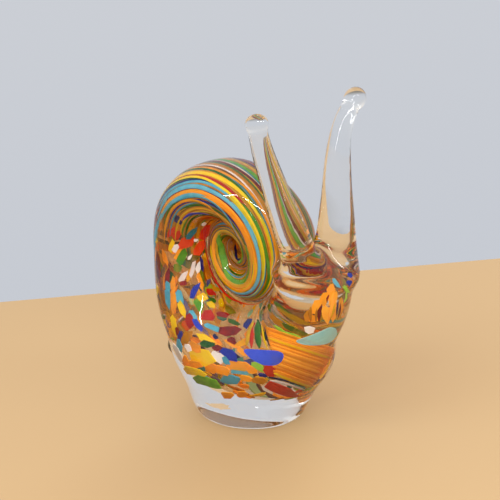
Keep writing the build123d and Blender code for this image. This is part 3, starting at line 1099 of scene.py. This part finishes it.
def amber_material():
    """Amber glass in streaks along the log, clear in between where the veil is thin."""
    material, tree, shader = new_material("amber_glass")
    uv = tree.nodes.new("ShaderNodeUVMap")
    uv.uv_map = "log"
    place = uv.outputs["UV"]
    streaks = add_noise(tree, add_stretch(tree, place, STREAK_COUNTS), 1, STREAK_DETAIL)
    tint = add_ramp(tree, streaks, [(position, linear(code)) for position, code in VEIL_STOPS])
    clouds = add_noise(tree, add_stretch(tree, place, CLOUD_COUNTS), 1, CLOUD_DETAIL)
    cover = add_math(tree, "MULTIPLY", add_attribute(tree, "cover"), COVER_WEIGHT)
    closed = add_math(tree, "MULTIPLY_ADD", clouds, CLOUD_WEIGHT, cover)
    closed = add_math(tree, "ADD", closed, -COVER_START, clamp=True)
    amber = coloured(tree, shader, tint, VEIL_TRANSLUCENCY)
    let_light_through(tree, mix_shaders(tree, closed, add_clear(tree, VEIL_CLEAR), amber), VEIL_SHADE)
    return material


def make_veil():
    """Amber veil, with its cover at each point and with turns along and around the log as its map."""
    first, last = BED_FIRST_ANGLE + VEIL_END_GAP, BED_LAST_ANGLE - VEIL_END_GAP
    layer = CASING_WALL + BED_DEPTH
    points, faces, angle, around = log_tube(first, last, layer, VEIL_STEP, VEIL_COLUMNS)
    piece = make_piece("amber_veil", points, faces, amber_material(), ["amber_core"])
    mesh = piece.data
    cover = mesh.attributes.new("cover", "FLOAT", "POINT")
    cover.data.foreach_set("value", veil_cover(angle, around).astype(np.float32))
    corners = np.empty(len(mesh.loops), np.int32)
    mesh.loops.foreach_get("vertex_index", corners)
    places = np.stack([angle[corners] / 360, around[corners] / 360], -1)
    for polygon in mesh.polygons:
        turns = places[polygon.loop_start:polygon.loop_start + 4, 1]
        if np.ptp(turns) > 0.5:
            turns[turns < 0.5] += 1
    uv = mesh.uv_layers.new(name="log")
    uv.data.foreach_set("uv", places.astype(np.float32).ravel())


def make_glass():
    """The clear skin, the amber veil in it, and the chips and ribbons of each colour."""
    points, quads = fused_glass()
    clear_nodes = ["casing"] + [node for node, _ in MELTS]
    make_piece("clear_glass", points, quads.tolist(), glass_material(), clear_nodes)
    make_veil()
    chips, ribbons = colour_piles(Sight(points, quads))
    for colour in TONES:
        material, slot = colour_material(colour), f"{colour}_glass"
        chips[colour].piece(f"frit_{colour}", material, slot, f"chips_{colour}", smooth=False)
        ribbons[colour].piece(f"ribbons_{colour}", material, slot, f"streaks_{colour}", smooth=True)


# Floor, world and lights

FLOOR_COLOUR = "A88A62"
FLOOR_ROUGHNESS = 0.6
FLOOR_REACH = 0.8
FLOOR_FAR_EDGE = 0.18
FLOOR_GAP = 0.1 * MM
FLOOR_THICKNESS = 30 * MM
# Colour of the room from straight below to straight above
WORLD_STOPS = ((0.0, "6E6256"), (0.25, "8C8880"), (0.33, "C6CAD2"), (0.55, "CDD0D6"), (0.8, "F4F4F4"))
LIT_PLACE = (0, 0, 0.06)
# Soft lights: name, place, width and power
SOFT_LIGHTS = (
    ("key", (-0.25, -0.75, 0.75), 0.5, 6),
    ("fill", (0.8, -0.4, 0.35), 0.4, 7),
    ("back", (-0.3, 0.8, 0.6), 0.5, 5),
)
# Long thin lamp in a bow over the object, whose reflections run over the glass as fine arcs:
# directions from the lit place, and power for each metre
LAMP_BOW = (
    (0.1, -0.83, 0.46),
    (0.25, -0.74, 0.6),
    (0.45, -0.42, 0.79),
    (0.66, -0.06, 0.74),
    (0.81, 0.39, 0.44),
)
LAMP_DISTANCE = 0.9
LAMP_WIDTH = 0.03
LAMP_POWER = 2.5
# Bounces that the light needs in solid glass, and clear layers that it may cross
GLASS_BOUNCES = 24
CLEAR_LAYERS = 32


def make_floor():
    """Pale table top whose far edge lies behind the object, as seen from the camera."""
    azimuth = math.radians(VIEW_AZIMUTH)
    level = Vector((math.cos(azimuth), math.sin(azimuth), 0))
    ahead = Vector((-math.sin(azimuth), math.cos(azimuth), 0))
    low = Vector((0, 0, -FLOOR_GAP))
    sides = (-FLOOR_REACH, FLOOR_REACH, FLOOR_REACH, -FLOOR_REACH)
    edges = (-FLOOR_REACH, -FLOOR_REACH, FLOOR_FAR_EDGE, FLOOR_FAR_EDGE)
    top = [level * side + ahead * edge + low for side, edge in zip(sides, edges)]
    bottom = [corner - Vector((0, 0, FLOOR_THICKNESS)) for corner in top]
    faces = [(0, 1, 2, 3), (7, 6, 5, 4), (0, 4, 5, 1), (1, 5, 6, 2), (2, 6, 7, 3), (3, 7, 4, 0)]
    mesh = bpy.data.meshes.new("floor")
    mesh.from_pydata(top + bottom, [], faces)
    floor = bpy.data.objects.new("floor", mesh)
    bpy.context.scene.collection.objects.link(floor)
    material, _, shader = new_material("floor")
    shader.inputs["Base Color"].default_value = linear(FLOOR_COLOUR)
    shader.inputs["Roughness"].default_value = FLOOR_ROUGHNESS
    mesh.materials.append(material)


def make_world():
    """Soft room light that is darkest below and brightest above."""
    world = bpy.data.worlds.new("studio")
    bpy.context.scene.world = world
    world.use_nodes = True
    tree = world.node_tree
    place = tree.nodes.new("ShaderNodeTexCoord").outputs["Generated"]
    height = add_range(tree, add_height(tree, place), -1, 1, 0, 1)
    colour = add_ramp(tree, height, [(position, linear(code)) for position, code in WORLD_STOPS])
    tree.links.new(colour, tree.nodes["Background"].inputs["Color"])


def make_light(name, place, size, power, lie=(0, 1, 0), mirrored=False):
    """Area light whose second side lies along a direction; only a mirrored one shows in the glass."""
    data = bpy.data.lights.new(name, "AREA")
    data.shape = "RECTANGLE"
    data.size, data.size_y = size
    data.energy = power
    light = bpy.data.objects.new(name, data)
    bpy.context.scene.collection.objects.link(light)
    back = (Vector(place) - Vector(LIT_PLACE)).normalized()
    side = Vector(lie).cross(back).normalized()
    light.matrix_world = Matrix((side, back.cross(side), back)).transposed().to_4x4()
    light.location = place
    light.visible_camera = False
    light.visible_glossy = mirrored
    light.visible_transmission = mirrored


def make_lights():
    """Three soft lights, and the straight stretches of the bowed lamp."""
    for name, place, width, power in SOFT_LIGHTS:
        make_light(name, place, (width, width), power)
    knees = [Vector(LIT_PLACE) + Vector(way).normalized() * LAMP_DISTANCE for way in LAMP_BOW]
    for number, (first, last) in enumerate(zip(knees, knees[1:])):
        length = (last - first).length
        make_light(f"lamp_{number}", (first + last) / 2, (LAMP_WIDTH, length), LAMP_POWER * length,
                   lie=last - first, mirrored=True)


def set_light_paths():
    """Enough bounces for glass in glass, and no caustics, which would only add noise."""
    scene = bpy.context.scene
    scene.view_settings.view_transform = "Standard"
    scene.cycles.max_bounces = GLASS_BOUNCES
    scene.cycles.transmission_bounces = GLASS_BOUNCES
    scene.cycles.transparent_max_bounces = CLEAR_LAYERS
    scene.cycles.caustics_refractive = False
    scene.cycles.caustics_reflective = False


make_glass()
make_camera()
make_floor()
make_world()
make_lights()
set_light_paths()
